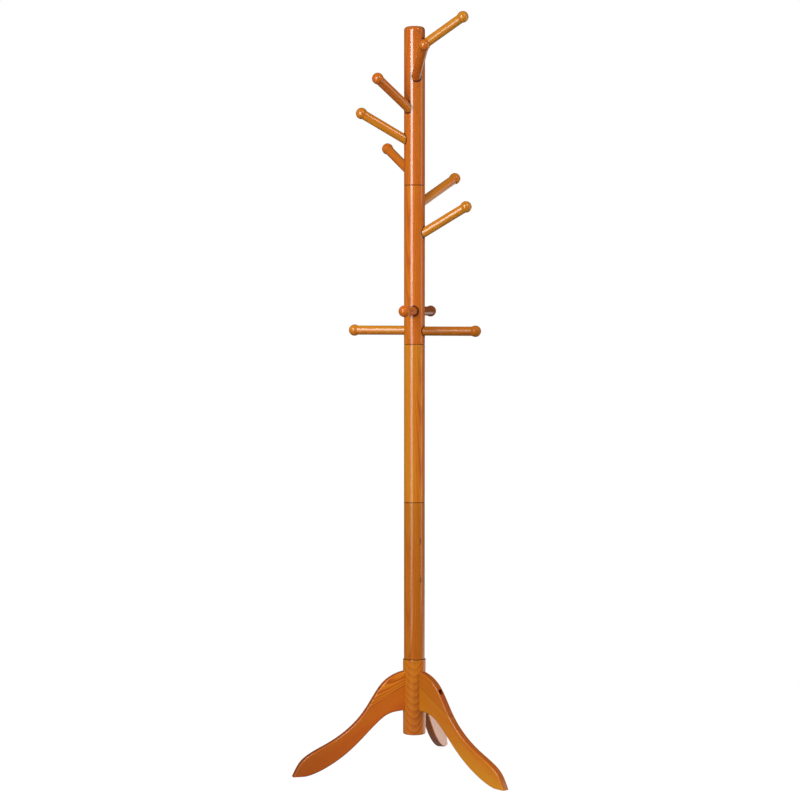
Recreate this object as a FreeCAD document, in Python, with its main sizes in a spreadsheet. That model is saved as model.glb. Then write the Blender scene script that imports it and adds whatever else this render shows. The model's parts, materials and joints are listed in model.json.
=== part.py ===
import FreeCAD, Part
import math
import os

import Sketcher

# A standing coat rack in turned and sawn hardwood: a round post of four
# sections screwed end to end on a short thicker hub, three S-curved board legs
# bolted to the hub, and eleven ball-ended pegs. Millimetres, +Z up. The origin
# is the point on the floor under the post's axis.

SIZES = {
    # post and hub
    "post_diameter": 47.5,
    "section_length": 360.0,
    "top_section_length": 357.5,
    "section_edge": 1.2,
    "post_top_edge": 8.0,
    "hub_diameter": 52.0,
    "hub_bottom": 84.0,
    "hub_length": 173.0,
    "hub_edge": 2.2,
    # the studs and threaded inserts that join the post
    "stud_diameter": 8.0,
    "stud_below": 18.0,
    "stud_above": 16.0,
    "stud_chamfer": 1.0,
    "stud_clearance": 0.05,
    "insert_diameter": 12.0,
    "insert_length": 13.0,
    "insert_sunk": 0.5,
    "insert_clearance": 0.02,
    "bore_spare": 0.6,
    # pegs
    "peg_diameter": 21.0,
    "peg_ball_diameter": 26.0,
    "peg_ball_reach": 139.5,
    "low_peg_ball_reach": 142.5,
    "peg_neck_round": 2.5,
    "peg_seat": 14.0,
    "peg_foot_chamfer": 0.8,
    "peg_clearance": 0.05,
    "peg_tilt": 30.0,
    "peg_bolt_diameter": 6.0,
    "peg_bolt_start": 2.0,
    "peg_bolt_end": 30.0,
    "peg_bolt_chamfer": 0.8,
    "top_peg_height": 1639.5,
    "peg_spacing": 70.35,
    "high_pair_height": 1052.5,
    "left_peg_height": 1009.0,
    "right_peg_height": 1007.2,
    # legs
    "leg_thickness": 18.0,
    "leg_edge": 3.5,
    "leg_bolt_height": 190.0,
    "leg_dowel_height": 155.0,
    "leg_bolt_seat": 46.0,
    "leg_bolt_diameter": 6.0,
    "leg_bolt_tip": 13.5,
    "leg_bolt_bore": 6.6,
    "bolt_head_diameter": 10.0,
    "bolt_head_height": 6.0,
    "bolt_head_edge": 0.6,
    "bolt_key_width": 5.0,
    "bolt_key_depth": 3.0,
    "counterbore": 12.6,
    "washer_diameter": 12.0,
    "washer_bore": 6.4,
    "washer_thickness": 1.2,
    "leg_insert_diameter": 10.0,
    "leg_insert_start": 12.2,
    "leg_insert_end": 25.0,
    "dowel_diameter": 8.0,
    "dowel_start": 12.0,
    "dowel_end": 42.0,
    "dowel_chamfer": 0.8,
    "leg_root_gap": 0.05,
}

# Each leg's name and the direction that it points in, in degrees from +X.
LEGS = [("left", 194.7), ("front", 314.7), ("back", 74.7)]

# The seven tilted pegs wind down the post, numbered from the top: the direction
# that each points in, and the post section that it is set in.
WINDING_PEGS = [(-27.3, 4), (-80.1, 4), (-132.9, 4), (-172.0, 4), (120.7, 4), (39.4, 3), (-16.9, 3)]

# The four level pegs: name, direction and the sheet's name for their height.
LEVEL_PEGS = [
    ("front", -99.4, "high_pair_height"),
    ("back", 74.3, "high_pair_height"),
    ("left", 164.3, "left_peg_height"),
    ("right", -15.7, "right_peg_height"),
]

# A leg's outline in its own plane, as (distance from the post's axis, height).
# The upper edge swells over the bolt, dips, then runs out to the toe. The lower
# edge follows it to the heel, where the flat sole starts.
LEG_UPPER_EDGE = [
    (18.0, 230.5),
    (48.0, 222.3),
    (70.6, 207.7),
    (91.0, 182.8),
    (120.0, 138.8),
    (154.8, 102.8),
    (203.0, 71.3),
    (245.2, 49.6),
    (266.0, 33.4),
    (279.7, 12.2),
    (285.7, 0.0),
]
LEG_LOWER_EDGE = [
    (254.0, 0.0),
    (242.0, 3.1),
    (227.0, 8.3),
    (206.0, 18.2),
    (168.8, 41.3),
    (126.8, 77.2),
    (84.7, 117.8),
    (63.0, 132.7),
    (42.0, 138.0),
    (18.0, 139.6),
]

# How far outside the post and the legs a cutting sketch is drawn.
OUTSIDE = 130.0

doc = FreeCAD.newDocument("coat_rack")
sheet = doc.addObject("Spreadsheet::Sheet", "Sizes")
for row, (alias, value) in enumerate(SIZES.items(), start=1):
    sheet.set("A%d" % row, alias)
    sheet.set("B%d" % row, str(value))
    sheet.setAlias("B%d" % row, alias)
doc.recompute()

nodes = []


def size(alias):
    """A driving dimension, read from the sheet."""
    return float(sheet.get(alias))


def new_body(label):
    """A PartDesign body that becomes the node of this name."""
    body = doc.addObject("PartDesign::Body", label)
    body.Label = label
    nodes.append(body)
    return body


def origin_feature(body, role):
    """One of a body's own origin planes or axes."""
    for feature in body.Origin.OriginFeatures:
        if feature.Role == role:
            return feature
    raise ValueError(role)


def new_sketch(body, name, plane, offset=None):
    """An empty sketch on one of the body's origin planes, or offset from it."""
    sketch = body.newObject("Sketcher::SketchObject", name)
    sketch.AttachmentSupport = [(origin_feature(body, plane), "")]
    sketch.MapMode = "FlatFace"
    if offset is not None:
        sketch.AttachmentOffset = offset
    return sketch


def circle(sketch, diameter, centre=None):
    """A circle bound to a diameter, on the sketch's centre or at a bound height."""
    middle = FreeCAD.Vector(0, centre[0] if centre else 0, 0)
    start_radius = 5.0
    ring = sketch.addGeometry(Part.Circle(middle, FreeCAD.Vector(0, 0, 1), start_radius), False)
    if centre is None:
        sketch.addConstraint(Sketcher.Constraint("Coincident", ring, 3, -1, 1))
    else:
        sketch.addConstraint(Sketcher.Constraint("PointOnObject", ring, 3, -2))
        up = sketch.addConstraint(Sketcher.Constraint("DistanceY", -1, 1, ring, 3, centre[0]))
        sketch.renameConstraint(up, "up")
        sketch.setExpression("Constraints.up", centre[1])
    across = sketch.addConstraint(Sketcher.Constraint("Diameter", ring, 2 * start_radius))
    sketch.renameConstraint(across, "across")
    sketch.setExpression("Constraints.across", diameter)


def polygon(sketch, corners, named):
    """Straight sides through the corners; named sizes tie corners to the sketch's centre.

    named holds (constraint name, corner number, DistanceX or DistanceY, expression).
    """
    points = [FreeCAD.Vector(x, y, 0) for x, y in corners]
    ends = points[1:] + points[:1]
    sides = [Part.LineSegment(a, b) for a, b in zip(points, ends)]
    sketch.addGeometry(sides, False)
    for number in range(len(sides)):
        following = (number + 1) % len(sides)
        sketch.addConstraint(Sketcher.Constraint("Coincident", number, 2, following, 1))
    for name, corner, kind, expression in named:
        value = corners[corner][0 if kind == "DistanceX" else 1]
        index = sketch.addConstraint(Sketcher.Constraint(kind, -1, 1, corner, 1, value))
        sketch.renameConstraint(index, name)
        sketch.setExpression("Constraints." + name, expression)


def pad(body, name, sketch, length, midplane=False):
    """A pad of a bound length."""
    feature = body.newObject("PartDesign::Pad", name)
    feature.Profile = sketch
    feature.SideType = "Symmetric" if midplane else "One side"
    feature.setExpression("Length", length)
    doc.recompute()
    return feature


def pocket(body, name, sketch, length, upward=False):
    """A pocket of a bound length, against the sketch's normal unless upward."""
    before = body.Shape.Volume
    feature = body.newObject("PartDesign::Pocket", name)
    feature.Profile = sketch
    feature.Reversed = upward
    feature.setExpression("Length", length)
    doc.recompute()
    if not body.Shape.Volume < before - 1e-6:
        raise ValueError("%s in %s cuts nothing" % (name, body.Label))
    return feature


def dress(body, kind, name, base, edges, amount):
    """A Fillet or Chamfer of a bound amount on the named edges of the base feature."""
    feature = body.newObject("PartDesign::" + kind, name)
    feature.Base = (base, edges)
    feature.setExpression("Radius" if kind == "Fillet" else "Size", amount)
    doc.recompute()
    return feature


def edges_where(shape, test):
    """The names of a shape's edges whose bounding box passes the test."""
    found = ["Edge%d" % n for n, edge in enumerate(shape.Edges, start=1) if test(edge.BoundBox)]
    if not found:
        raise ValueError("no edge found")
    return found


def rings_at(shape, height):
    """The names of a shape's edges that lie flat at a height."""
    close = 1e-4
    return edges_where(shape, lambda b: abs(b.ZMin - height) < close and abs(b.ZMax - height) < close)


def cylinder_body(label, diameter, length):
    """A plain round body standing on its own XY plane."""
    body = new_body(label)
    outline = new_sketch(body, label + "_outline", "XY_Plane")
    circle(outline, diameter)
    return body, pad(body, label + "_round", outline, length)


def pointing(azimuth, tilt=0.0):
    """A unit vector at a direction and a tilt above level, both in degrees."""
    turn, rise = math.radians(azimuth), math.radians(tilt)
    level = math.cos(rise)
    return FreeCAD.Vector(level * math.cos(turn), level * math.sin(turn), math.sin(rise))


def aimed(origin, direction):
    """A placement whose Z axis points in the direction."""
    return FreeCAD.Placement(origin, FreeCAD.Rotation(FreeCAD.Vector(0, 0, 1), direction))


def end_bore(body, name, upward, depth, diameter, height=None):
    """A round bore into one end of a body, from the bottom up or from a bound height down."""
    sketch = new_sketch(body, name + "_outline", "XY_Plane")
    if height is not None:
        sketch.setExpression("AttachmentOffset.Base.z", height)
    circle(sketch, diameter)
    return pocket(body, name, sketch, depth, upward)


def insert_and_stud_bores(body, end, stud_length, height=None):
    """The stepped bore for one threaded insert and the end of one stud."""
    upward = height is None
    insert_depth = "Sizes.insert_length + Sizes.insert_sunk"
    insert_bore = "Sizes.insert_diameter + 2 * Sizes.insert_clearance"
    stud_depth = "%s + Sizes.bore_spare" % stud_length
    stud_bore = "Sizes.stud_diameter + 2 * Sizes.bore_spare"
    end_bore(body, end + "_insert_bore", upward, insert_depth, insert_bore, height)
    end_bore(body, end + "_stud_bore", upward, stud_depth, stud_bore, height)


def peg_socket(body, name, height, azimuth, tilt):
    """A blind socket for a peg's foot, with a narrower hole for its bolt."""
    direction = pointing(azimuth, tilt)
    start = FreeCAD.Vector(0, 0, height) + direction * OUTSIDE
    foot = new_sketch(body, name + "_socket_outline", "XY_Plane", aimed(start, direction))
    circle(foot, "Sizes.peg_diameter + 2 * Sizes.peg_clearance")
    pocket(body, name + "_socket", foot, "%g - Sizes.peg_seat" % OUTSIDE)
    hole = new_sketch(body, name + "_bolt_hole_outline", "XY_Plane", aimed(start, direction))
    circle(hole, "Sizes.peg_bolt_diameter + 2 * Sizes.peg_clearance")
    depth = "%g - Sizes.peg_bolt_start + Sizes.bore_spare" % OUTSIDE
    pocket(body, name + "_bolt_hole", hole, depth)


def winding_height(number):
    """The height of a tilted peg's axis on the post's axis, counted from the top."""
    return size("top_peg_height") - (number - 1) * size("peg_spacing")


def all_pegs():
    """(name, section, height, direction, tilt, reach alias) for all eleven pegs."""
    pegs = []
    for number, (azimuth, section) in enumerate(WINDING_PEGS, start=1):
        height = winding_height(number)
        pegs.append(("peg_%d" % number, section, height, azimuth, size("peg_tilt"), "peg_ball_reach"))
    for name, azimuth, height in LEVEL_PEGS:
        pegs.append(("level_peg_" + name, 3, size(height), azimuth, 0.0, "low_peg_ball_reach"))
    return pegs


def seam_height(number):
    """The sheet expression for a post section's lower end; section 1 stands on the hub."""
    return "Sizes.hub_bottom + Sizes.hub_length + %d * Sizes.section_length" % (number - 1)


def make_hub():
    """The thick turned block that the legs are bolted to. Its own +X faces the back leg."""
    body, block = cylinder_body("hub", "Sizes.hub_diameter", "Sizes.hub_length")
    length = size("hub_length")
    ends = rings_at(block.Shape, 0.0) + rings_at(block.Shape, length)
    dress(body, "Fillet", "hub_rounded_ends", block, ends, "Sizes.hub_edge")
    insert_and_stud_bores(body, "top", "Sizes.stud_below", "Sizes.hub_length")
    cuts = []
    bores = [
        ("leg_insert_bore", "leg_bolt_height", "Sizes.leg_insert_diameter + 2 * Sizes.insert_clearance",
         "Sizes.leg_insert_start"),
        ("leg_dowel_bore", "leg_dowel_height", "Sizes.dowel_diameter + 2 * Sizes.insert_clearance",
         "Sizes.dowel_start - Sizes.bore_spare"),
    ]
    for name, height, diameter, start in bores:
        sketch = new_sketch(body, name + "_outline", "YZ_Plane")
        sketch.AttachmentOffset = FreeCAD.Placement(FreeCAD.Vector(0, 0, OUTSIDE), FreeCAD.Rotation())
        middle = size(height) - size("hub_bottom")
        circle(sketch, diameter, (middle, "Sizes.%s - Sizes.hub_bottom" % height))
        cuts.append(pocket(body, name, sketch, "%g - (%s)" % (OUTSIDE, start)))
    ring = body.newObject("PartDesign::PolarPattern", "leg_bores_around")
    ring.Originals = cuts
    ring.Axis = (origin_feature(body, "Z_Axis"), [""])
    ring.Angle = 360
    ring.Occurrences = len(LEGS)
    body.Tip = ring
    body.Placement = FreeCAD.Placement(
        FreeCAD.Vector(0, 0, 0), FreeCAD.Rotation(FreeCAD.Vector(0, 0, 1), dict(LEGS)["back"])
    )
    body.setExpression("Placement.Base.z", "Sizes.hub_bottom")
    doc.recompute()


def make_section(number):
    """One turned post section, with a stepped bore in each joined end and its pegs' sockets."""
    name = "post_section_%d" % number
    is_top = number == 4
    length_alias = "top_section_length" if is_top else "section_length"
    body, rod = cylinder_body(name, "Sizes.post_diameter", "Sizes." + length_alias)
    length = size(length_alias)
    lower_ring = rings_at(rod.Shape, 0.0)
    upper_ring = rings_at(rod.Shape, length)
    if is_top:
        lower = dress(body, "Fillet", name + "_lower_edge", rod, lower_ring, "Sizes.section_edge")
        upper_ring = rings_at(lower.Shape, length)
        dress(body, "Fillet", name + "_rounded_top", lower, upper_ring, "Sizes.post_top_edge")
    else:
        dress(body, "Fillet", name + "_edges", rod, lower_ring + upper_ring, "Sizes.section_edge")
        insert_and_stud_bores(body, "top", "Sizes.stud_below", "Sizes.section_length")
    insert_and_stud_bores(body, "bottom", "Sizes.stud_above")
    base = size("hub_bottom") + size("hub_length") + (number - 1) * size("section_length")
    for peg, section, height, azimuth, tilt, _ in all_pegs():
        if section == number:
            peg_socket(body, peg, height - base, azimuth, tilt)
    body.setExpression("Placement.Base.z", seam_height(number))
    doc.recompute()


def make_stud(number):
    """The double-ended steel stud across the seam under one post section."""
    name = "seam_stud_%d" % number
    body, rod = cylinder_body(name, "Sizes.stud_diameter", "Sizes.stud_below + Sizes.stud_above")
    length = size("stud_below") + size("stud_above")
    ends = rings_at(rod.Shape, 0.0) + rings_at(rod.Shape, length)
    dress(body, "Chamfer", name + "_tips", rod, ends, "Sizes.stud_chamfer")
    body.setExpression("Placement.Base.z", seam_height(number) + " - Sizes.stud_below")
    doc.recompute()


def make_sleeve(label, outer, inner, length):
    """A round sleeve standing on its own XY plane: a threaded insert or a washer."""
    body = new_body(label)
    outline = new_sketch(body, label + "_outline", "XY_Plane")
    circle(outline, outer)
    pad(body, label + "_round", outline, length)
    bore = new_sketch(body, label + "_bore_outline", "XY_Plane")
    circle(bore, inner)
    pocket(body, label + "_bore", bore, length, upward=True)
    return body


def make_seam_inserts(number):
    """The two brass inserts at the seam under one post section: one up, one down."""
    below = "hub" if number == 1 else "section_%d" % (number - 1)
    bore = "Sizes.stud_diameter + 2 * Sizes.stud_clearance"
    places = [
        (below + "_upper_insert", " - Sizes.insert_sunk - Sizes.insert_length"),
        ("section_%d_lower_insert" % number, " + Sizes.insert_sunk"),
    ]
    for label, shift in places:
        body = make_sleeve(label, "Sizes.insert_diameter", bore, "Sizes.insert_length")
        body.setExpression("Placement.Base.z", seam_height(number) + shift)
    doc.recompute()


def make_peg(name, height, azimuth, tilt, reach_alias):
    """A turned peg: a straight rod with a ball on its end, drilled for its bolt."""
    body = new_body(name)
    rod, ball = size("peg_diameter") / 2, size("peg_ball_diameter") / 2
    foot, reach = size("peg_seat"), size(reach_alias)
    sketch = new_sketch(body, name + "_half_outline", "XZ_Plane")
    neck = reach - math.sqrt(ball**2 - rod**2)
    tip = FreeCAD.Vector(0, reach + ball, 0)
    side = FreeCAD.Vector(ball, reach, 0)
    shoulder = FreeCAD.Vector(rod, neck, 0)
    corners = [FreeCAD.Vector(0, foot, 0), FreeCAD.Vector(rod, foot, 0), shoulder]
    sketch.addGeometry(Part.LineSegment(corners[0], corners[1]), False)
    sketch.addGeometry(Part.LineSegment(corners[1], corners[2]), False)
    sketch.addGeometry(Part.Arc(shoulder, side, tip), False)
    sketch.addGeometry(Part.LineSegment(tip, corners[0]), False)
    for constraint in [
        Sketcher.Constraint("Coincident", 0, 2, 1, 1),
        Sketcher.Constraint("Coincident", 1, 2, 2, 1),
        Sketcher.Constraint("Coincident", 2, 2, 3, 1),
        Sketcher.Constraint("Coincident", 3, 2, 0, 1),
        Sketcher.Constraint("Horizontal", 0),
        Sketcher.Constraint("Vertical", 1),
        Sketcher.Constraint("PointOnObject", 0, 1, -2),
        Sketcher.Constraint("PointOnObject", 2, 3, -2),
        Sketcher.Constraint("PointOnObject", 2, 2, -2),
    ]:
        sketch.addConstraint(constraint)
    for label, constraint, expression in [
        ("rod", Sketcher.Constraint("Distance", 0, rod), "Sizes.peg_diameter / 2"),
        ("ball", Sketcher.Constraint("Radius", 2, ball), "Sizes.peg_ball_diameter / 2"),
        ("foot", Sketcher.Constraint("DistanceY", -1, 1, 0, 1, foot), "Sizes.peg_seat"),
        ("reach", Sketcher.Constraint("DistanceY", -1, 1, 2, 3, reach), "Sizes." + reach_alias),
    ]:
        index = sketch.addConstraint(constraint)
        sketch.renameConstraint(index, label)
        sketch.setExpression("Constraints." + label, expression)
    turned = body.newObject("PartDesign::Revolution", name + "_turned")
    turned.Profile = sketch
    turned.ReferenceAxis = (sketch, ["V_Axis"])
    turned.Angle = 360
    doc.recompute()
    foot_ring = rings_at(turned.Shape, foot)
    chamfered = dress(body, "Chamfer", name + "_foot", turned, foot_ring, "Sizes.peg_foot_chamfer")
    neck_ring = rings_at(chamfered.Shape, neck)
    dress(body, "Fillet", name + "_neck", chamfered, neck_ring, "Sizes.peg_neck_round")
    hole = new_sketch(body, name + "_bolt_hole_outline", "XY_Plane")
    circle(hole, "Sizes.peg_bolt_diameter + 2 * Sizes.peg_clearance")
    pocket(body, name + "_bolt_hole", hole, "Sizes.peg_bolt_end + Sizes.bore_spare", upward=True)
    body.Placement = aimed(FreeCAD.Vector(0, 0, height), pointing(azimuth, tilt))
    doc.recompute()


def make_pin(label, diameter, start, end, chamfer):
    """A round pin with chamfered ends, lying along its own Z between two bound distances."""
    length = "%s - %s" % (end, start)
    body = new_body(label)
    outline = new_sketch(body, label + "_outline", "XY_Plane")
    outline.setExpression("AttachmentOffset.Base.z", start)
    circle(outline, diameter)
    rod = pad(body, label + "_round", outline, length)
    box = rod.Shape.BoundBox
    ends = rings_at(rod.Shape, box.ZMin) + rings_at(rod.Shape, box.ZMax)
    dress(body, "Chamfer", label + "_tips", rod, ends, chamfer)
    return body


def make_leg(name, azimuth):
    """A leg sawn from board to an S-curve, coped to the hub, and bored for bolt and dowel."""
    body = new_body("leg_" + name)
    sketch = new_sketch(body, "leg_%s_outline" % name, "XZ_Plane")
    upper = Part.BSplineCurve()
    upper.interpolate([FreeCAD.Vector(x, y, 0) for x, y in LEG_UPPER_EDGE])
    lower = Part.BSplineCurve()
    lower.interpolate([FreeCAD.Vector(x, y, 0) for x, y in LEG_LOWER_EDGE])
    toe = FreeCAD.Vector(*LEG_UPPER_EDGE[-1], 0)
    heel = FreeCAD.Vector(*LEG_LOWER_EDGE[0], 0)
    root_low = FreeCAD.Vector(*LEG_LOWER_EDGE[-1], 0)
    root_top = FreeCAD.Vector(*LEG_UPPER_EDGE[0], 0)
    outline = [upper, Part.LineSegment(toe, heel), lower, Part.LineSegment(root_low, root_top)]
    sketch.addGeometry(outline, False)
    board = pad(body, "leg_%s_board" % name, sketch, "Sizes.leg_thickness", midplane=True)
    half = size("leg_thickness") / 2
    close = 1e-3

    def on_a_face_and_seen(b):
        on_face = abs(abs(b.YMin) - half) < close and abs(b.YMax - b.YMin) < close
        at_root = b.XMax < LEG_UPPER_EDGE[0][0] + close
        on_floor = b.ZMax < close
        return on_face and not at_root and not on_floor

    edges = edges_where(board.Shape, on_a_face_and_seen)
    dress(body, "Fillet", "leg_%s_rounded" % name, board, edges, "Sizes.leg_edge")
    cope = new_sketch(body, "leg_%s_cope_outline" % name, "XY_Plane")
    circle(cope, "Sizes.hub_diameter + 2 * Sizes.leg_root_gap")
    pocket(body, "leg_%s_cope" % name, cope, "2 * Sizes.hub_length", upward=True)
    cuts = [
        ("bolt_bore", "leg_bolt_height", "Sizes.leg_bolt_bore", "0"),
        ("counterbore", "leg_bolt_height", "Sizes.counterbore", "Sizes.leg_bolt_seat"),
    ]
    for cut, height, diameter, start in cuts:
        bore = new_sketch(body, "leg_%s_%s_outline" % (name, cut), "YZ_Plane")
        bore.AttachmentOffset = FreeCAD.Placement(FreeCAD.Vector(0, 0, OUTSIDE), FreeCAD.Rotation())
        circle(bore, diameter, (size(height), "Sizes." + height))
        pocket(body, "leg_%s_%s" % (name, cut), bore, "%g - %s" % (OUTSIDE, start))
    dowel = new_sketch(body, "leg_%s_dowel_bore_outline" % name, "YZ_Plane")
    circle(dowel, "Sizes.dowel_diameter + 2 * Sizes.insert_clearance",
           (size("leg_dowel_height"), "Sizes.leg_dowel_height"))
    pocket(body, "leg_%s_dowel_bore" % name, dowel, "Sizes.dowel_end + Sizes.bore_spare", upward=True)
    body.Placement = FreeCAD.Placement(
        FreeCAD.Vector(0, 0, 0), FreeCAD.Rotation(FreeCAD.Vector(0, 0, 1), azimuth)
    )
    doc.recompute()


def make_leg_bolt(name):
    """A socket-head cap screw along its own Z, head outward, as it lies from the post's axis."""
    body = make_pin("leg_bolt_" + name, "Sizes.leg_bolt_diameter", "Sizes.leg_bolt_tip",
                    "Sizes.leg_bolt_seat + Sizes.washer_thickness + Sizes.bolt_head_height / 2",
                    "Sizes.peg_bolt_chamfer")
    label = body.Label
    seat = "Sizes.leg_bolt_seat + Sizes.washer_thickness"
    head = new_sketch(body, label + "_head_outline", "XY_Plane")
    head.setExpression("AttachmentOffset.Base.z", seat)
    circle(head, "Sizes.bolt_head_diameter")
    block = pad(body, label + "_head", head, "Sizes.bolt_head_height")
    top = size("leg_bolt_seat") + size("washer_thickness") + size("bolt_head_height")
    top_ring = rings_at(block.Shape, top)
    dress(body, "Fillet", label + "_head_edge", block, top_ring, "Sizes.bolt_head_edge")
    key = new_sketch(body, label + "_key_outline", "XY_Plane")
    key.setExpression("AttachmentOffset.Base.z", seat + " + Sizes.bolt_head_height")
    corner = size("bolt_key_width") / math.sqrt(3)
    turns = [math.radians(60 * n) for n in range(6)]
    hexagon = [(corner * math.cos(turn), corner * math.sin(turn)) for turn in turns]
    polygon(key, hexagon, [("corner", 0, "DistanceX", "Sizes.bolt_key_width / sqrt(3)")])
    pocket(body, label + "_key", key, "Sizes.bolt_key_depth")
    return body


def make_leg_hardware(name, azimuth):
    """One leg's bolt, washer, threaded insert and dowel, all pointing straight out of the hub."""
    outward = pointing(azimuth)
    insert = make_sleeve("leg_insert_" + name, "Sizes.leg_insert_diameter",
                         "Sizes.leg_bolt_diameter + 2 * Sizes.stud_clearance",
                         "Sizes.leg_insert_end - Sizes.leg_insert_start")
    washer = make_sleeve("leg_washer_" + name, "Sizes.washer_diameter", "Sizes.washer_bore",
                         "Sizes.washer_thickness")
    bolt = make_leg_bolt(name)
    dowel = make_pin("leg_dowel_" + name, "Sizes.dowel_diameter", "Sizes.dowel_start",
                     "Sizes.dowel_end", "Sizes.dowel_chamfer")
    starts = [
        (insert, size("leg_insert_start"), "leg_bolt_height"),
        (washer, size("leg_bolt_seat"), "leg_bolt_height"),
        (bolt, 0.0, "leg_bolt_height"),
        (dowel, 0.0, "leg_dowel_height"),
    ]
    for body, start, height in starts:
        body.Placement = aimed(outward * start + FreeCAD.Vector(0, 0, size(height)), outward)
        body.setExpression("Placement.Base.z", "Sizes." + height)
    doc.recompute()


def check_and_export():
    """Stops on any failed feature or bad solid, then writes one STEP file for each node."""
    doc.recompute()
    for item in doc.Objects:
        if "Invalid" in item.State or "Error" in item.State:
            raise ValueError("%s failed: %s" % (item.Label, item.State))
    for body in nodes:
        shape = body.Shape
        if shape.isNull() or not shape.isValid() or len(shape.Solids) != 1:
            raise ValueError("%s is not one valid solid" % body.Label)
    os.makedirs("parts", exist_ok=True)
    for body in nodes:
        body.Shape.exportStep("parts/%s.step" % body.Label)
    print("%d nodes written" % len(nodes))


make_hub()
for section_number in range(1, 5):
    make_section(section_number)
    make_stud(section_number)
    make_seam_inserts(section_number)
for leg_name, leg_azimuth in LEGS:
    make_leg(leg_name, leg_azimuth)
    make_leg_hardware(leg_name, leg_azimuth)
for peg_name, _, peg_height, peg_azimuth, peg_tilt, peg_reach in all_pegs():
    make_peg(peg_name, peg_height, peg_azimuth, peg_tilt, peg_reach)
    bolt = make_pin(peg_name + "_bolt", "Sizes.peg_bolt_diameter", "Sizes.peg_bolt_start",
                    "Sizes.peg_bolt_end", "Sizes.peg_bolt_chamfer")
    bolt.Placement = aimed(FreeCAD.Vector(0, 0, peg_height), pointing(peg_azimuth, peg_tilt))
check_and_export()
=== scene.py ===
import json
import math

import bpy
from mathutils import Matrix, Vector


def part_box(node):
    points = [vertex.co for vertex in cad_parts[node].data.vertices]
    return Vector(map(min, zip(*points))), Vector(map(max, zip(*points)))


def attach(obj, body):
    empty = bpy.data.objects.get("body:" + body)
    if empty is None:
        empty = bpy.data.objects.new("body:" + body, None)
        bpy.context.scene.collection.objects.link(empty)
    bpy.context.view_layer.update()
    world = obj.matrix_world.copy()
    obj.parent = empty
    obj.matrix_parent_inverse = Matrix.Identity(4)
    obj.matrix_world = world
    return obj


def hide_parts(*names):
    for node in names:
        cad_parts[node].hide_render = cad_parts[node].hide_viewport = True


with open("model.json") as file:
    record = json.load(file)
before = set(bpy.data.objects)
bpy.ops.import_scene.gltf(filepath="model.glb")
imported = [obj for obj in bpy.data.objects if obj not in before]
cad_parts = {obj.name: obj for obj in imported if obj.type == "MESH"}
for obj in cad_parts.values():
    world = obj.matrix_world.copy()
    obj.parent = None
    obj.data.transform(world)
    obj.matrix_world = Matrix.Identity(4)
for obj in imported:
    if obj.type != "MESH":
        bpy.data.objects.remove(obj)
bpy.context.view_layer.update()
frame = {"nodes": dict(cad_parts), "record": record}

nodes = frame["nodes"]
record = frame["record"]

# ---------------------------------------------------------------- sizes, from the frame

MM = 0.001
UP = Vector((0, 0, 1))
M8_PITCH = 1.25 * MM
M8_THREAD_DEPTH = 0.7 * MM
M8_TIP_STEP = 0.3 * MM


def mount(name):
    """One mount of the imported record."""
    return next(m for m in record["mounts"] if m["name"] == name)


def flat_angle(direction):
    """The direction's angle about the post, from +X."""
    return math.atan2(direction[1], direction[0])


# ---------------------------------------------------------------- node helpers

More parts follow.
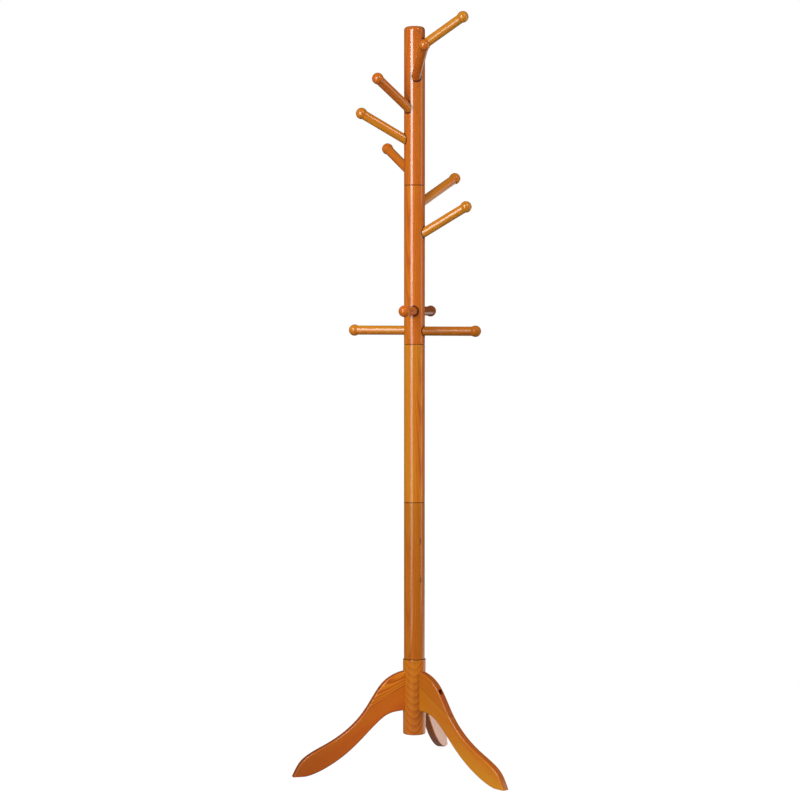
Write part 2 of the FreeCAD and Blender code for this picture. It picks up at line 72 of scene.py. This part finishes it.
class Graph:
    """A short way to write a material's nodes: each method adds one node and returns an output."""

    def __init__(self, material):
        self.tree = material.node_tree
        self.tree.nodes.clear()

    def add(self, kind, **settings):
        node = self.tree.nodes.new("ShaderNode" + kind)
        for key, value in settings.items():
            setattr(node, key, value)
        return node

    def put(self, socket, value):
        """Links an output to a socket, or sets the socket to a number."""
        if isinstance(value, bpy.types.NodeSocket):
            self.tree.links.new(value, socket)
        else:
            socket.default_value = value

    def math(self, operation, a, b=0.0, c=0.0):
        node = self.add("Math", operation=operation)
        for socket, value in zip(node.inputs, (a, b, c)):
            self.put(socket, value)
        return node.outputs[0]

    def vector(self, operation, a, b=(0, 0, 0), scale=1.0):
        node = self.add("VectorMath", operation=operation)
        self.put(node.inputs[0], a)
        if operation == "SCALE":
            self.put(node.inputs[3], scale)
        else:
            self.put(node.inputs[1], b)
        return node.outputs[1 if operation in ("LENGTH", "DOT_PRODUCT") else 0]

    def noise(self, vector, scale, detail=2.0, roughness=0.5, colour=False):
        node = self.add("TexNoise")
        self.put(node.inputs["Vector"], vector)
        self.put(node.inputs["Scale"], scale)
        self.put(node.inputs["Detail"], detail)
        self.put(node.inputs["Roughness"], roughness)
        return node.outputs["Color" if colour else "Fac"]

    def ramp(self, value, stops):
        """A colour for each value, straight between the stops."""
        node = self.add("ValToRGB")
        while len(node.color_ramp.elements) < len(stops):
            node.color_ramp.elements.new(0.5)
        for element, (position, colour) in zip(node.color_ramp.elements, stops):
            element.position = position
            element.color = (*colour, 1.0)
        self.put(node.inputs[0], value)
        return node.outputs["Color"]

    def spread(self, value, low, high, to_low=0.0, to_high=1.0, smooth=False):
        """Maps low..high to to_low..to_high, clamped."""
        kind = "SMOOTHSTEP" if smooth else "LINEAR"
        node = self.add("MapRange", clamp=True, interpolation_type=kind)
        for socket, given in zip(node.inputs, (value, low, high, to_low, to_high)):
            self.put(socket, given)
        return node.outputs[0]

    def mix(self, factor, a, b):
        """The colour a, turned into b as the factor goes from 0 to 1."""
        node = self.add("Mix", data_type="RGBA")
        self.put(node.inputs[0], factor)
        for socket, value in ((node.inputs[6], a), (node.inputs[7], b)):
            self.put(socket, value if isinstance(value, bpy.types.NodeSocket) else (*value, 1.0))
        return node.outputs[2]

    def combine(self, x, y, z):
        node = self.add("CombineXYZ")
        for socket, value in zip(node.inputs, (x, y, z)):
            self.put(socket, value)
        return node.outputs[0]

    def split(self, vector):
        node = self.add("SeparateXYZ")
        self.put(node.inputs[0], vector)
        return node.outputs

    def bump(self, height, strength, distance):
        node = self.add("Bump")
        self.put(node.inputs["Strength"], strength)
        self.put(node.inputs["Distance"], distance)
        self.put(node.inputs["Height"], height)
        return node.outputs[0]

    def local(self, where, origin, rotation):
        """A row-frame position turned into a piece's own frame."""
        node = self.add("Mapping", vector_type="TEXTURE")
        self.put(node.inputs["Vector"], where)
        self.put(node.inputs["Location"], tuple(origin))
        self.put(node.inputs["Rotation"], tuple(rotation))
        return node.outputs[0]

    def finish(self, shader):
        self.tree.links.new(shader, self.add("OutputMaterial").inputs["Surface"])


def linear(red, green, blue):
    """A display colour, 0 to 255, as the linear colour that shaders use."""
    def channel(value):
        value /= 255
        return value / 12.92 if value <= 0.04045 else ((value + 0.055) / 1.055) ** 2.4
    return tuple(channel(value) for value in (red, green, blue))


# ---------------------------------------------------------------- wood

EARLY = linear(222, 132, 24)
MIDDLE = linear(208, 110, 12)
LATE = linear(170, 76, 6)
RED = linear(204, 90, 10)
HONEY = linear(214, 142, 22)
DARK = linear(72, 26, 4)
# The sawn edges' colour: partly stain, partly painted shade for the board's dark outline.
EDGE_STAIN_AND_SHADE = linear(140, 52, 8)

# One year of growth, from the pale early wood to the dark late wood.
YEAR = [(0.0, MIDDLE), (0.15, EARLY), (0.55, MIDDLE), (0.84, LATE), (0.93, LATE), (1.0, MIDDLE)]

TRUNK_WANDER = 7 * MM
KNOT_REACH = 9 * MM
EVEN_TONE = 0.5
RELIEF = 0.06 * MM


def glued_strips(g, place, width, seed):
    """Strips glued edge to edge across a piece's own Y.

    Returns each strip's jump to another part of the log, its tone, and its glue line.
    """
    across = g.math("DIVIDE", g.split(place)[1], width)
    number = g.math("FLOOR", across)
    random = g.add("TexWhiteNoise", noise_dimensions="1D")
    g.put(random.inputs["W"], g.math("ADD", number, seed))
    jump = g.vector("SCALE", random.outputs["Color"], scale=0.35)
    tone = g.math("MULTIPLY_ADD", g.math("FLOORED_MODULO", number, 2.0), -0.6, 0.8)
    part = g.math("FRACT", across)
    nearest = g.math("MINIMUM", part, g.math("SUBTRACT", 1.0, part))
    glue_line = g.spread(nearest, 0.008, 0.03, 0.5, 0.0, smooth=True)
    return jump, tone, glue_line


def years_from_pith(g, place, shifted, pith, ring, taper):
    """The distance from the wandering pith of the log, counted in years of growth."""
    wander = g.noise(g.vector("MULTIPLY", shifted, (9.0, 9.0, 2.2)), 1.0, detail=2.0, colour=True)
    wander = g.vector("SCALE", g.vector("SUBTRACT", wander, (0.5, 0.5, 0.5)), scale=TRUNK_WANDER)
    x, y, z = g.split(g.vector("ADD", place, wander))
    flat = g.combine(g.math("SUBTRACT", x, pith[0]), g.math("SUBTRACT", y, pith[1]), 0.0)
    reach = g.math("MULTIPLY_ADD", z, taper, g.vector("LENGTH", flat))
    uneven = g.noise(g.vector("MULTIPLY", shifted, (30.0, 30.0, 3.0)), 1.0, detail=1.0)
    return g.math("MULTIPLY_ADD", uneven, 0.9, g.math("DIVIDE", reach, ring))


def swirled(g, year, where, knots):
    """Bends the rings round each knot. Also returns how near the nearest knot is."""
    swirl = 0.0
    for knot in knots:
        offset = g.vector("MULTIPLY", g.vector("SUBTRACT", where, knot), (1.0, 1.0, 0.45))
        near = g.spread(g.vector("LENGTH", offset), 0.5 * MM, KNOT_REACH, 1.0, 0.0, smooth=True)
        year = g.math("MULTIPLY_ADD", near, 1.7, year)
        swirl = g.math("MAXIMUM", near, swirl)
    return year, swirl


def ring_colour(g, growth, shifted, contrast):
    """The rings' colour. How strongly they show varies over the piece."""
    fading = g.noise(g.vector("MULTIPLY", shifted, (14.0, 14.0, 1.6)), 1.0, detail=1.0)
    shown = g.spread(fading, 0.3, 0.7, contrast * 0.5, min(contrast * 1.5, 1.0))
    return g.mix(shown, MIDDLE, g.ramp(growth, YEAR))


def toned(g, colour, shifted, strip_tone, warmth):
    """Broad changes of tone along the piece, from red to honey."""
    tone = g.noise(g.vector("MULTIPLY", shifted, (22.0, 22.0, 1.8)), 1.0, detail=3.0, roughness=0.6)
    tone = g.math("MULTIPLY_ADD", g.math("SUBTRACT", strip_tone, EVEN_TONE), 0.4, tone)
    tone = g.math("ADD", tone, 0.3 * warmth)
    colour = g.mix(g.spread(tone, 0.5, 0.2, 0.0, 0.8), colour, RED)
    return g.mix(g.spread(tone, 0.5, 0.8, 0.0, 0.8), colour, HONEY)


def sawn_edges_and_outline_shade(g, colour, place, board):
    """Darkens the sawn edges of a board: partly stain taken deeper than its faces, partly painted shade
    for the dark outline along the board's silhouette.
    """
    thick = g.math("ABSOLUTE", g.split(place)[0])
    sawn = g.spread(thick, board / 2 - 0.3 * MM, board / 2 - 2.5 * MM, 0.0, 0.6, smooth=True)
    return g.mix(sawn, colour, EDGE_STAIN_AND_SHADE)


def soaked_ends_and_seam_shade(g, colour, where, ends):
    """Darkens the last millimetre at both end faces: partly end grain that drinks the stain, partly
    painted shade in the groove where two pieces meet at a seam.
    """
    height = g.split(where)[2]
    low = g.math("ABSOLUTE", g.math("SUBTRACT", height, ends[0]))
    high = g.math("ABSOLUTE", g.math("SUBTRACT", height, ends[1]))
    end_stain_and_seam_shade = g.spread(g.math("MINIMUM", low, high), 0.2 * MM, 1.5 * MM, 0.85, 0.0, smooth=True)
    return g.mix(end_stain_and_seam_shade, colour, DARK)


def painted_foot_shade(g, colour, where, foot, direction):
    """Darkens a ring round the foot of one peg: painted shade where the peg meets the post."""
    from_foot = g.vector("SUBTRACT", where, tuple(foot))
    away = g.vector("LENGTH", g.vector("CROSS_PRODUCT", from_foot, tuple(direction)))
    ahead = g.vector("DOT_PRODUCT", from_foot, tuple(direction))
    foot_shade = g.spread(away, 12.6 * MM, 14.4 * MM, 0.95, 0.0, smooth=True)
    foot_shade = g.math("MULTIPLY", foot_shade, g.math("GREATER_THAN", ahead, 0.0))
    return g.mix(foot_shade, colour, DARK)


def lacquered(g, colour, fibre, relief, gloss):
    """Stained wood under a clear coat."""
    shader = g.add("BsdfPrincipled")
    g.put(shader.inputs["Base Color"], colour)
    g.put(shader.inputs["Roughness"], g.spread(fibre, 0.3, 0.8, 0.4, 0.55))
    g.put(shader.inputs["Normal"], g.bump(relief, 0.12, RELIEF))
    shader.inputs["Specular IOR Level"].default_value = 0.12
    shader.inputs["Coat Weight"].default_value = gloss
    shader.inputs["Coat Roughness"].default_value = 0.12
    shader.inputs["Coat IOR"].default_value = 1.5
    return shader.outputs[0]


def wood(name, origin, rotation, pith, seed, ring=2.4 * MM, taper=0.02, contrast=0.5, warmth=0.0,
         strips=None, board=None, ends=None, feet=(), knots=(), gloss=1.0, shade=1.0, deepening=0.0):
    """Stained hardwood under gloss lacquer, cut from a log whose pith lies beside the piece.

    The grain runs along the piece's own Z. pith is where the log's centre lies, ring the
    width of a year's growth, and taper how fast the log narrows, which draws the arched
    grain. contrast is how strongly the rings show, and warmth goes from -1, red, to 1, honey.
    strips is the width of edge-glued strips, and board the thickness, across the piece's own
    X, of a board whose sawn edges are darkened, partly as stain taken deeper and partly as
    painted shade for the dark outline along the board's silhouette. ends are the heights of two
    end faces, darkened partly as end grain that drinks the stain and partly as painted shade in
    the groove at the seam. feet are the pegs that are set in the piece, each with a ring of
    painted shade round its foot. knots are places where the rings swirl. gloss is how full the
    lacquer is. shade below 1 darkens the colour, and deepening, per metre, darkens it along the piece.
    """
    material = bpy.data.materials.new(name)
    material.use_nodes = True
    g = Graph(material)
    where = g.add("TexCoord").outputs["Object"]
    own = g.local(where, origin, rotation)
    place = own
    shifted = g.vector("ADD", own, (seed * 0.37, seed * 0.53, seed * 0.71))
    strip_tone = EVEN_TONE
    if strips:
        jump, strip_tone, glue_line = glued_strips(g, own, strips, seed)
        place = g.vector("ADD", own, g.vector("MULTIPLY", jump, (0.06, 0.06, 1.0)))
        shifted = g.vector("ADD", shifted, jump)

    year = years_from_pith(g, place, shifted, pith, ring, taper)
    year, swirl = swirled(g, year, where, knots)
    growth = g.math("FRACT", year)
    colour = ring_colour(g, growth, shifted, contrast)
    colour = toned(g, colour, shifted, strip_tone, warmth)
    fibre = g.noise(g.vector("MULTIPLY", shifted, (420.0, 420.0, 7.0)), 1.0, detail=3.0, roughness=0.65)
    colour = g.mix(g.spread(fibre, 0.35, 0.75, 0.0, 0.24), colour, LATE)
    pores = g.noise(g.vector("MULTIPLY", shifted, (1500.0, 1500.0, 42.0)), 1.0, detail=1.0)
    pores = g.spread(pores, 0.64, 0.74)
    colour = g.mix(g.math("MULTIPLY", pores, 0.26), colour, DARK)

    if strips:
        colour = g.mix(glue_line, colour, LATE)
    if board:
        # Sawn edges: deeper stain plus painted outline shade.
        colour = sawn_edges_and_outline_shade(g, colour, own, board)
    if knots:
        colour = g.mix(g.spread(swirl, 0.6, 1.0, 0.0, 0.6), colour, DARK)
    if ends:
        # End faces: end-grain stain plus painted shade in the seam's groove.
        colour = soaked_ends_and_seam_shade(g, colour, where, ends)
    for foot, direction in feet:
        # Painted shade round each peg's foot.
        colour = painted_foot_shade(g, colour, where, foot, direction)
    depth = g.math("MULTIPLY_ADD", g.split(own)[2], -deepening, shade)
    colour = g.vector("SCALE", colour, scale=depth)

    relief = g.math("MULTIPLY_ADD", pores, -0.5, g.math("MULTIPLY", growth, -0.2))
    g.finish(lacquered(g, colour, fibre, relief, gloss))
    return material


# ---------------------------------------------------------------- metals and dowels

def zinc_steel():
    """Bright zinc plate with a faint mottled grain."""
    material = bpy.data.materials.new("zinc_plated_steel")
    material.use_nodes = True
    g = Graph(material)
    place = g.add("TexCoord").outputs["Object"]
    mottle = g.noise(place, 380.0, detail=4.0, roughness=0.6)
    colour = g.ramp(mottle, [(0.3, linear(150, 152, 158)), (0.7, linear(206, 208, 212))])
    shader = g.add("BsdfPrincipled")
    g.put(shader.inputs["Base Color"], colour)
    g.put(shader.inputs["Roughness"], g.spread(mottle, 0.3, 0.7, 0.22, 0.4))
    g.put(shader.inputs["Normal"], g.bump(g.noise(place, 2600.0, detail=2.0), 0.2, 0.02 * MM))
    shader.inputs["Metallic"].default_value = 1.0
    g.finish(shader.outputs[0])
    return material


def machined_brass():
    """Turned brass with fine circular tool marks."""
    material = bpy.data.materials.new("machined_brass")
    material.use_nodes = True
    g = Graph(material)
    place = g.add("TexCoord").outputs["Object"]
    tarnish = g.noise(place, 240.0, detail=3.0)
    colour = g.ramp(tarnish, [(0.3, linear(176, 134, 58)), (0.7, linear(222, 184, 98))])
    marks = g.noise(g.vector("MULTIPLY", place, (300.0, 300.0, 9000.0)), 1.0, detail=1.0)
    shader = g.add("BsdfPrincipled")
    g.put(shader.inputs["Base Color"], colour)
    g.put(shader.inputs["Roughness"], g.spread(tarnish, 0.3, 0.7, 0.24, 0.42))
    g.put(shader.inputs["Normal"], g.bump(marks, 0.3, 0.02 * MM))
    shader.inputs["Metallic"].default_value = 1.0
    g.finish(shader.outputs[0])
    return material


def raw_beech():
    """Pale unfinished beech with short dark ray flecks."""
    material = bpy.data.materials.new("raw_beech")
    material.use_nodes = True
    g = Graph(material)
    place = g.add("TexCoord").outputs["Object"]
    grain = g.noise(place, 260.0, detail=4.0, roughness=0.7)
    flecks = g.spread(g.noise(place, 1400.0, detail=1.0), 0.6, 0.7)
    colour = g.ramp(grain, [(0.3, linear(206, 166, 116)), (0.7, linear(228, 196, 150))])
    colour = g.mix(g.math("MULTIPLY", flecks, 0.4), colour, linear(150, 108, 66))
    shader = g.add("BsdfPrincipled")
    g.put(shader.inputs["Base Color"], colour)
    g.put(shader.inputs["Roughness"], g.spread(grain, 0.3, 0.7, 0.6, 0.75))
    g.put(shader.inputs["Normal"], g.bump(grain, 0.3, 0.1 * MM))
    g.finish(shader.outputs[0])
    return material


# ---------------------------------------------------------------- finishes on the CAD nodes

def coat(node_name, material):
    """Gives a CAD node its one finish."""
    node = nodes[node_name]
    node.data.materials.clear()
    node.data.materials.append(material)


# The grain and the glue lines of a leg fall this much from root to toe, and one glue line
# leaves the hub at this height.
LEG_GRAIN = math.radians(-31)
LEG_GLUE_LINE_HEIGHT = 0.197
LEG_STRIP = 90 * MM
LEG_BOARD = 18 * MM

peg_names = [m["name"][:-len("_hook")] for m in record["mounts"] if m["name"].endswith("_hook")]
bodies = record["behaviour"]["bodies"]
body_of_node = {node: body for body, names in bodies.items() for node in names}


def peg_axis(name):
    """Where a peg's axis leaves the post's own axis, and its direction."""
    hook = mount(name + "_hook")
    centre, direction = Vector(hook["pos_m"]), Vector(hook["axis"])
    return centre - direction * (centre.xy.length / direction.xy.length), direction


def on_post(height, bearing):
    """A point on the post's surface, at a bearing in degrees from the front, + to the right."""
    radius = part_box("post_section_1")[1].x
    angle = math.radians(bearing)
    return (radius * math.sin(angle), -radius * math.cos(angle), height)


# For each post section from the lowest up: where its pith lies, its warmth and its shade.
SECTION_LOOKS = [
    ((0.034, 0.048), 0.2, 0.83),
    ((-0.05, 0.058), 0.3, 1.0),
    ((0.03, 0.052), 0.1, 1.0),
    ((0.058, 0.032), -0.65, 0.96),
]

# The knots on the post's sections.
KNOTS = {1: [on_post(0.440, 37), on_post(0.529, 36)]}

# For each peg, in the record's order: its warmth, gloss and shade.
PEG_LOOKS = [
    (0.7, 1.0, 1.0),
    (-0.3, 1.0, 1.0),
    (-0.2, 1.0, 1.0),
    (0.8, 1.0, 1.0),
    (0.1, 1.0, 1.0),
    (0.6, 1.0, 1.0),
    (0.7, 1.0, 1.0),
    (-0.8, 0.6, 1.0),
    (-0.6, 0.5, 0.5),
    (0.8, 0.8, 1.0),
    (0.2, 0.25, 0.75),
]
PEG_PITH = 0.03

# For each leg: its name, warmth, shade, deepening and gloss, and how many strips higher up
# the panel it was sawn, which swaps the tones of its strips.
LEG_LOOKS = [
    ("left", -0.1, 1.1, 1.4, 0.6, 0),
    ("front", 0.35, 0.88, -0.6, 0.6, 1),
    ("back", 0.5, 1.0, 0.0, 0.8, 0),
]


def finish_post():
    """The hub and the four sections, each from its own length of timber."""
    for number, (pith, warmth, shade) in enumerate(SECTION_LOOKS, start=1):
        name = "post_section_%d" % number
        low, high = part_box(name)
        feet = [peg_axis(peg) for peg in peg_names if body_of_node[peg] == "section_%d" % number]
        coat(name, wood(name + "_wood", (0, 0, low.z), (0, 0, 0), pith, seed=number * 1.37,
                        contrast=0.34, warmth=warmth, shade=shade, ends=(low.z, high.z),
                        feet=feet, knots=KNOTS.get(number, ())))
    low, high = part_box("hub")
    coat("hub", wood("hub_wood", (0, 0, low.z), (0, 0, 0), (0.004, 0.046), seed=7.9, ring=4.8 * MM,
                     taper=0.3, contrast=0.85, warmth=0.1, shade=0.96, ends=(low.z, high.z)))


def finish_pegs():
    """Each peg's grain runs along it, and its log's pith lies in another direction."""
    for number, (name, (warmth, gloss, shade)) in enumerate(zip(peg_names, PEG_LOOKS)):
        centre, direction = peg_axis(name)
        turn = UP.rotation_difference(direction).to_euler("XYZ")
        pith = (PEG_PITH * math.cos(number * 2.4), PEG_PITH * math.sin(number * 2.4))
        coat(name, wood(name + "_wood", centre, turn, pith, seed=11.3 + number * 0.77,
                        contrast=0.5, warmth=warmth, shade=shade, gloss=gloss))


def finish_legs():
    """Each leg is sawn from a panel of edge-glued strips that run down its length."""
    for number, (name, warmth, shade, deepening, gloss, strips_up) in enumerate(LEG_LOOKS):
        angle = flat_angle(mount("foot_" + name)["pos_m"])
        outward = Vector((math.cos(angle), math.sin(angle), 0))
        along = outward * math.cos(LEG_GRAIN) + UP * math.sin(LEG_GRAIN)
        thick = Vector((-math.sin(angle), math.cos(angle), 0))
        across = along.cross(thick)
        turn = Matrix((thick, across, along)).transposed().to_euler("XYZ")
        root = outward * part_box("hub")[1].x + UP * LEG_GLUE_LINE_HEIGHT
        root += across * LEG_STRIP * strips_up
        coat("leg_" + name, wood("leg_%s_wood" % name, root, turn, (0.05, 0.03), seed=21.7 + number * 3.1,
                                 ring=3.0 * MM, taper=0.05, contrast=0.75, warmth=warmth, shade=shade,
                                 deepening=deepening, gloss=gloss, strips=LEG_STRIP, board=LEG_BOARD))


def finish_hardware():
    """Metal and dowel nodes, by the slot that the record gives each."""
    steel = zinc_steel()
    by_slot = {"zinc_steel": steel, "brass": machined_brass(), "dowel_wood": raw_beech()}
    for entry in record["subparts"]:
        if entry["material_slot"] in by_slot:
            coat(entry["node"], by_slot[entry["material_slot"]])
    for number in range(1, 5):
        threaded_stud(number, steel)


# ---------------------------------------------------------------- threaded studs

def threaded_stud(number, steel):
    """The double-ended M8 stud of one seam, with its right-hand thread, in place of the plain CAD rod."""
    replaced = "seam_stud_%d" % number
    sides = 32
    rows_a_turn = 8
    low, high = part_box(replaced)
    length = high.z - low.z
    rows = round(length / M8_PITCH * rows_a_turn)
    points = []
    for row in range(rows + 1):
        height = length * row / rows
        tip = min(height, length - height)
        for side in range(sides):
            turn = side / sides
            climb = (height / M8_PITCH - turn) % 1.0
            crest = 1.0 - abs(2.0 * climb - 1.0)
            depth = M8_THREAD_DEPTH * (1.0 - min(1.25 * crest, 1.0))
            radius = min(high.x - depth, high.x - M8_THREAD_DEPTH - M8_TIP_STEP + tip)
            angle = math.tau * turn
            points.append((radius * math.cos(angle), radius * math.sin(angle), low.z + height))
    faces = [list(range(sides))[::-1], list(range(rows * sides, (rows + 1) * sides))]
    for row in range(rows):
        for side in range(sides):
            a, b = row * sides + side, row * sides + (side + 1) % sides
            faces.append((a, b, b + sides, a + sides))
    name = "threaded_stud_%d" % number
    mesh = bpy.data.meshes.new(name)
    mesh.from_pydata(points, [], faces)
    mesh.materials.append(steel)
    stud = bpy.data.objects.new(name, mesh)
    bpy.context.scene.collection.objects.link(stud)
    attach(stud, "stud_%d" % number)
    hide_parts(replaced)


# ---------------------------------------------------------------- stage, light, camera

# From the post to the middle of the low white wall, right of it and behind.
WALL_DIRECTION = Vector((0.77, 0.64, 0)).normalized()


def pale_floor():
    """A wide pale floor, thin enough to let the white background through."""
    radius = 3.4
    sides = 96
    turns = [math.tau * n / sides for n in range(sides)]
    ring = [(radius * math.cos(turn), radius * math.sin(turn), 0) for turn in turns]
    mesh = bpy.data.meshes.new("floor")
    mesh.from_pydata(ring, [], [list(range(sides))])
    floor = bpy.data.objects.new("floor", mesh)
    bpy.context.scene.collection.objects.link(floor)
    material = bpy.data.materials.new("pale_floor")
    material.use_nodes = True
    g = Graph(material)
    away = g.vector("LENGTH", g.add("TexCoord").outputs["Object"])
    paint = g.add("BsdfPrincipled")
    paint.inputs["Base Color"].default_value = (0.9, 0.9, 0.9, 1)
    paint.inputs["Roughness"].default_value = 0.9
    paint.inputs["Emission Color"].default_value = (1, 1, 1, 1)
    paint.inputs["Emission Strength"].default_value = 0.45
    clear = g.add("BsdfTransparent")
    blend = g.add("MixShader")
    g.put(blend.inputs[0], g.spread(away, 0.3, 1.6, 0.86, 1.0, smooth=True))
    g.tree.links.new(paint.outputs[0], blend.inputs[1])
    g.tree.links.new(clear.outputs[0], blend.inputs[2])
    g.finish(blend.outputs[0])
    mesh.materials.append(material)


def studio_world():
    """White to the eye, a soft light on matt surfaces, and for gloss a dark room with a low white wall."""
    world = bpy.data.worlds.new("studio")
    bpy.context.scene.world = world
    world.use_nodes = True
    g = Graph(world)
    direction = g.add("TexCoord").outputs["Generated"]
    rise = g.split(direction)[2]
    facing_wall = g.vector("DOT_PRODUCT", direction, tuple(WALL_DIRECTION))
    wall = g.spread(facing_wall, 0.72, 0.93, smooth=True)
    low_enough = g.spread(rise, -0.19, -0.13, 1.0, 0.0, smooth=True)
    gloss = g.math("MULTIPLY_ADD", g.math("MULTIPLY", wall, low_enough), 1.2, 0.05)
    from_above = g.spread(rise, -0.6, 0.8, 0.1, 0.7)
    matt = g.math("MULTIPLY_ADD", wall, 0.5, from_above)
    path = g.add("LightPath")
    strength = g.math("ADD", g.math("MULTIPLY", path.outputs["Is Glossy Ray"], gloss),
                      g.math("MULTIPLY", path.outputs["Is Diffuse Ray"], matt))
    strength = g.math("MAXIMUM", strength, path.outputs["Is Camera Ray"])
    background = g.add("Background")
    background.inputs["Color"].default_value = (1, 1, 1, 1)
    g.put(background.inputs["Strength"], strength)
    g.tree.links.new(background.outputs[0], g.add("OutputWorld").inputs["Surface"])


def panel(name, bearing, distance, height, aim, width, tall, radiance, for_gloss):
    """A softbox facing the post at the height aim, lighting either gloss or matt surfaces.

    The bearing is in degrees from the camera's side, + to the right.
    """
    light = bpy.data.lights.new(name, "AREA")
    light.shape = "RECTANGLE"
    light.size = width
    light.size_y = tall
    light.energy = radiance * math.pi * width * tall
    lamp = bpy.data.objects.new(name, light)
    angle = math.radians(bearing)
    lamp.location = (distance * math.sin(angle), -distance * math.cos(angle), height)
    inward = Vector((-lamp.location.x, -lamp.location.y, aim - height))
    lamp.rotation_euler = inward.to_track_quat("-Z", "Y").to_euler()
    lamp.visible_camera = False
    lamp.visible_glossy = for_gloss
    lamp.visible_diffuse = not for_gloss
    bpy.context.scene.collection.objects.link(lamp)


def strip_light():
    """A tall narrow softbox left of the camera, brighter towards its top."""
    count = 8
    tall = 0.28
    lowest = 2.2
    step_up = 1.36
    for n in range(count):
        middle = (n + 0.5) * tall
        panel("strip_%d" % (n + 1), bearing=-31, distance=1.9, height=middle, aim=middle, width=0.8,
              tall=tall, radiance=lowest * step_up**n, for_gloss=True)


def softboxes():
    """The strip, a panel at the side and a high one for the gloss, and a key and a fill for the rest."""
    strip_light()
    panel("side", bearing=84, distance=2.4, height=1.2, aim=1.2, width=0.75, tall=2.4,
          radiance=1.6, for_gloss=True)
    panel("high", bearing=35, distance=1.9, height=2.6, aim=1.45, width=0.6, tall=0.6,
          radiance=9.0, for_gloss=True)
    panel("key", bearing=-38, distance=2.5, height=1.7, aim=0.8, width=1.2, tall=2.2,
          radiance=6.4, for_gloss=False)
    panel("fill", bearing=65, distance=2.8, height=1.4, aim=0.8, width=1.2, tall=2.2,
          radiance=3.2, for_gloss=False)


def camera():
    """Stands back at chest height, a little left of the post, tipped slightly down."""
    place = (-0.0329, -4.637, 1.063)
    degrees_down = 2.629
    data = bpy.data.cameras.new("camera")
    data.lens = 91.63
    data.clip_end = 100
    view = bpy.data.objects.new("camera", data)
    view.location = place
    view.rotation_euler = (math.radians(90 - degrees_down), 0, 0)
    bpy.context.scene.collection.objects.link(view)
    bpy.context.scene.camera = view


finish_post()
finish_pegs()
finish_legs()
finish_hardware()
pale_floor()
studio_world()
softboxes()
camera()
bpy.context.scene.view_settings.view_transform = "Standard"
